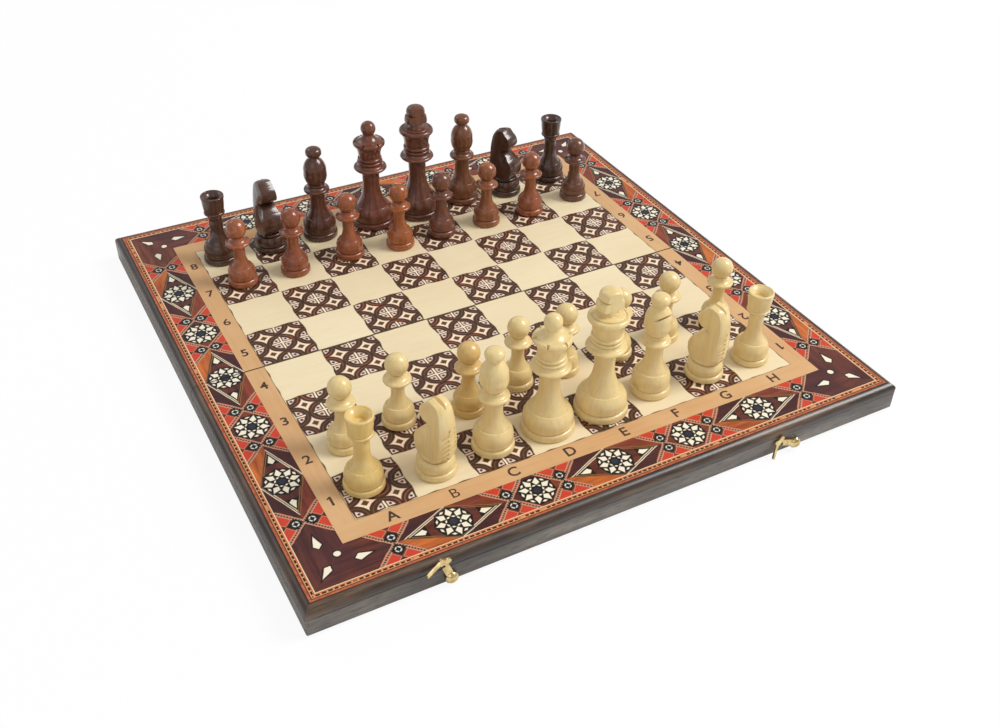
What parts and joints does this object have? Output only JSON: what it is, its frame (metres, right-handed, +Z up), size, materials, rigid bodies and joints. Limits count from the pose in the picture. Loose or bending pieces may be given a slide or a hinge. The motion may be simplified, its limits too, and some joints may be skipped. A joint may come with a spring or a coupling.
{
  "type": "chess set with board",
  "caption": "Folding wooden chess board with inlaid border, rounded moulding, butt hinges and swing hooks, set with turned and carved chessmen that lift off.",
  "frame": {"origin": "centre of the open board, at the lowest point of the hinge barrels that it lies on", "axes": "+X along the files from a to h, +Y from White's side to Black's side, +Z up"},
  "size_m": [0.4, 0.4088, 0.1091],
  "materials": {
    "moulding_wood": "dark stained moulding under gloss lacquer",
    "carcass_wood": "plain birch and plywood inside the tray",
    "field_veneer": "maple veneer with burnt and inlaid squares, satin lacquer",
    "band_veneer": "tan veneer under satin lacquer",
    "frieze_veneer": "dark red-brown veneer with inlaid ornament, satin lacquer",
    "string_veneer": "salmon veneer with fine stringing, satin lacquer",
    "brass": "polished, slightly dull with handling",
    "white_wood": "pale boxwood, semi-gloss lacquer",
    "black_wood": "dark stained wood, glossy lacquer"
  },
  "bodies": {
    "white_half": {"white_front_rail": "moulding_wood", "white_left_rail": "moulding_wood", "white_right_rail": "moulding_wood", "white_seam_rail": "carcass_wood", "white_panel": "carcass_wood", "white_field": "field_veneer", "white_band": "band_veneer", "white_frieze": "frieze_veneer", "white_stringing": "string_veneer", "white_hinge_leaves": "brass", "white_hinge_screws": "brass", "hinge_pins": "brass", "latch_pivots": "brass"},
    "black_half": {"black_back_rail": "moulding_wood", "black_left_rail": "moulding_wood", "black_right_rail": "moulding_wood", "black_seam_rail": "carcass_wood", "black_panel": "carcass_wood", "black_field": "field_veneer", "black_band": "band_veneer", "black_frieze": "frieze_veneer", "black_stringing": "string_veneer", "black_hinge_leaves": "brass", "black_hinge_screws": "brass", "catch_studs": "brass"},
    "left_hook": {"left_hook": "brass"},
    "right_hook": {"right_hook": "brass"},
    "white_rook_a": {"white_rook_a": "white_wood"},
    "white_knight_b": {"white_knight_b": "white_wood"},
    "white_bishop_c": {"white_bishop_c": "white_wood"},
    "white_queen": {"white_queen": "white_wood"},
    "white_king": {"white_king": "white_wood"},
    "white_bishop_f": {"white_bishop_f": "white_wood"},
    "white_knight_g": {"white_knight_g": "white_wood"},
    "white_rook_h": {"white_rook_h": "white_wood"},
    "white_pawn_a": {"white_pawn_a": "white_wood"},
    "white_pawn_b": {"white_pawn_b": "white_wood"},
    "white_pawn_c": {"white_pawn_c": "white_wood"},
    "white_pawn_d": {"white_pawn_d": "white_wood"},
    "white_pawn_e": {"white_pawn_e": "white_wood"},
    "white_pawn_f": {"white_pawn_f": "white_wood"},
    "white_pawn_g": {"white_pawn_g": "white_wood"},
    "white_pawn_h": {"white_pawn_h": "white_wood"},
    "black_rook_a": {"black_rook_a": "black_wood"},
    "black_knight_b": {"black_knight_b": "black_wood"},
    "black_bishop_c": {"black_bishop_c": "black_wood"},
    "black_queen": {"black_queen": "black_wood"},
    "black_king": {"black_king": "black_wood"},
    "black_bishop_f": {"black_bishop_f": "black_wood"},
    "black_knight_g": {"black_knight_g": "black_wood"},
    "black_rook_h": {"black_rook_h": "black_wood"},
    "black_pawn_a": {"black_pawn_a": "black_wood"},
    "black_pawn_b": {"black_pawn_b": "black_wood"},
    "black_pawn_c": {"black_pawn_c": "black_wood"},
    "black_pawn_d": {"black_pawn_d": "black_wood"},
    "black_pawn_e": {"black_pawn_e": "black_wood"},
    "black_pawn_f": {"black_pawn_f": "black_wood"},
    "black_pawn_g": {"black_pawn_g": "black_wood"},
    "black_pawn_h": {"black_pawn_h": "black_wood"}
  },
  "joints": [
    {"name": "fold", "type": "hinge", "parent": "white_half", "child": "black_half", "pos_m": [0, 0, 0.0015], "axis": [1, 0, 0], "range_deg": [-180, 0]},
    {"name": "left_hook_swing", "type": "hinge", "parent": "white_half", "child": "left_hook", "pos_m": [-0.118, -0.2012, 0.00565], "axis": [0, -1, 0], "range_deg": [-20, 155.6]},
    {"name": "right_hook_swing", "type": "hinge", "parent": "white_half", "child": "right_hook", "pos_m": [0.118, -0.2012, 0.00565], "axis": [0, -1, 0], "range_deg": [-68, 107.6]},
    {"name": "white_rook_a_lift", "type": "slide", "parent": "white_half", "child": "white_rook_a", "axis": [0, 0, 1], "range_m": [0, 0.1]},
    {"name": "white_knight_b_lift", "type": "slide", "parent": "white_half", "child": "white_knight_b", "axis": [0, 0, 1], "range_m": [0, 0.1]},
    {"name": "white_bishop_c_lift", "type": "slide", "parent": "white_half", "child": "white_bishop_c", "axis": [0, 0, 1], "range_m": [0, 0.1]},
    {"name": "white_queen_lift", "type": "slide", "parent": "white_half", "child": "white_queen", "axis": [0, 0, 1], "range_m": [0, 0.1]},
    {"name": "white_king_lift", "type": "slide", "parent": "white_half", "child": "white_king", "axis": [0, 0, 1], "range_m": [0, 0.1]},
    {"name": "white_bishop_f_lift", "type": "slide", "parent": "white_half", "child": "white_bishop_f", "axis": [0, 0, 1], "range_m": [0, 0.1]},
    {"name": "white_knight_g_lift", "type": "slide", "parent": "white_half", "child": "white_knight_g", "axis": [0, 0, 1], "range_m": [0, 0.1]},
    {"name": "white_rook_h_lift", "type": "slide", "parent": "white_half", "child": "white_rook_h", "axis": [0, 0, 1], "range_m": [0, 0.1]},
    {"name": "white_pawn_a_lift", "type": "slide", "parent": "white_half", "child": "white_pawn_a", "axis": [0, 0, 1], "range_m": [0, 0.1]},
    {"name": "white_pawn_b_lift", "type": "slide", "parent": "white_half", "child": "white_pawn_b", "axis": [0, 0, 1], "range_m": [0, 0.1]},
    {"name": "white_pawn_c_lift", "type": "slide", "parent": "white_half", "child": "white_pawn_c", "axis": [0, 0, 1], "range_m": [0, 0.1]},
    {"name": "white_pawn_d_lift", "type": "slide", "parent": "white_half", "child": "white_pawn_d", "axis": [0, 0, 1], "range_m": [0, 0.1]},
    {"name": "white_pawn_e_lift", "type": "slide", "parent": "white_half", "child": "white_pawn_e", "axis": [0, 0, 1], "range_m": [0, 0.1]},
    {"name": "white_pawn_f_lift", "type": "slide", "parent": "white_half", "child": "white_pawn_f", "axis": [0, 0, 1], "range_m": [0, 0.1]},
    {"name": "white_pawn_g_lift", "type": "slide", "parent": "white_half", "child": "white_pawn_g", "axis": [0, 0, 1], "range_m": [0, 0.1]},
    {"name": "white_pawn_h_lift", "type": "slide", "parent": "white_half", "child": "white_pawn_h", "axis": [0, 0, 1], "range_m": [0, 0.1]},
    {"name": "black_rook_a_lift", "type": "slide", "parent": "black_half", "child": "black_rook_a", "axis": [0, 0, 1], "range_m": [0, 0.1]},
    {"name": "black_knight_b_lift", "type": "slide", "parent": "black_half", "child": "black_knight_b", "axis": [0, 0, 1], "range_m": [0, 0.1]},
    {"name": "black_bishop_c_lift", "type": "slide", "parent": "black_half", "child": "black_bishop_c", "axis": [0, 0, 1], "range_m": [0, 0.1]},
    {"name": "black_queen_lift", "type": "slide", "parent": "black_half", "child": "black_queen", "axis": [0, 0, 1], "range_m": [0, 0.1]},
    {"name": "black_king_lift", "type": "slide", "parent": "black_half", "child": "black_king", "axis": [0, 0, 1], "range_m": [0, 0.1]},
    {"name": "black_bishop_f_lift", "type": "slide", "parent": "black_half", "child": "black_bishop_f", "axis": [0, 0, 1], "range_m": [0, 0.1]},
    {"name": "black_knight_g_lift", "type": "slide", "parent": "black_half", "child": "black_knight_g", "axis": [0, 0, 1], "range_m": [0, 0.1]},
    {"name": "black_rook_h_lift", "type": "slide", "parent": "black_half", "child": "black_rook_h", "axis": [0, 0, 1], "range_m": [0, 0.1]},
    {"name": "black_pawn_a_lift", "type": "slide", "parent": "black_half", "child": "black_pawn_a", "axis": [0, 0, 1], "range_m": [0, 0.1]},
    {"name": "black_pawn_b_lift", "type": "slide", "parent": "black_half", "child": "black_pawn_b", "axis": [0, 0, 1], "range_m": [0, 0.1]},
    {"name": "black_pawn_c_lift", "type": "slide", "parent": "black_half", "child": "black_pawn_c", "axis": [0, 0, 1], "range_m": [0, 0.1]},
    {"name": "black_pawn_d_lift", "type": "slide", "parent": "black_half", "child": "black_pawn_d", "axis": [0, 0, 1], "range_m": [0, 0.1]},
    {"name": "black_pawn_e_lift", "type": "slide", "parent": "black_half", "child": "black_pawn_e", "axis": [0, 0, 1], "range_m": [0, 0.1]},
    {"name": "black_pawn_f_lift", "type": "slide", "parent": "black_half", "child": "black_pawn_f", "axis": [0, 0, 1], "range_m": [0, 0.1]},
    {"name": "black_pawn_g_lift", "type": "slide", "parent": "black_half", "child": "black_pawn_g", "axis": [0, 0, 1], "range_m": [0, 0.1]},
    {"name": "black_pawn_h_lift", "type": "slide", "parent": "black_half", "child": "black_pawn_h", "axis": [0, 0, 1], "range_m": [0, 0.1]}
  ]
}
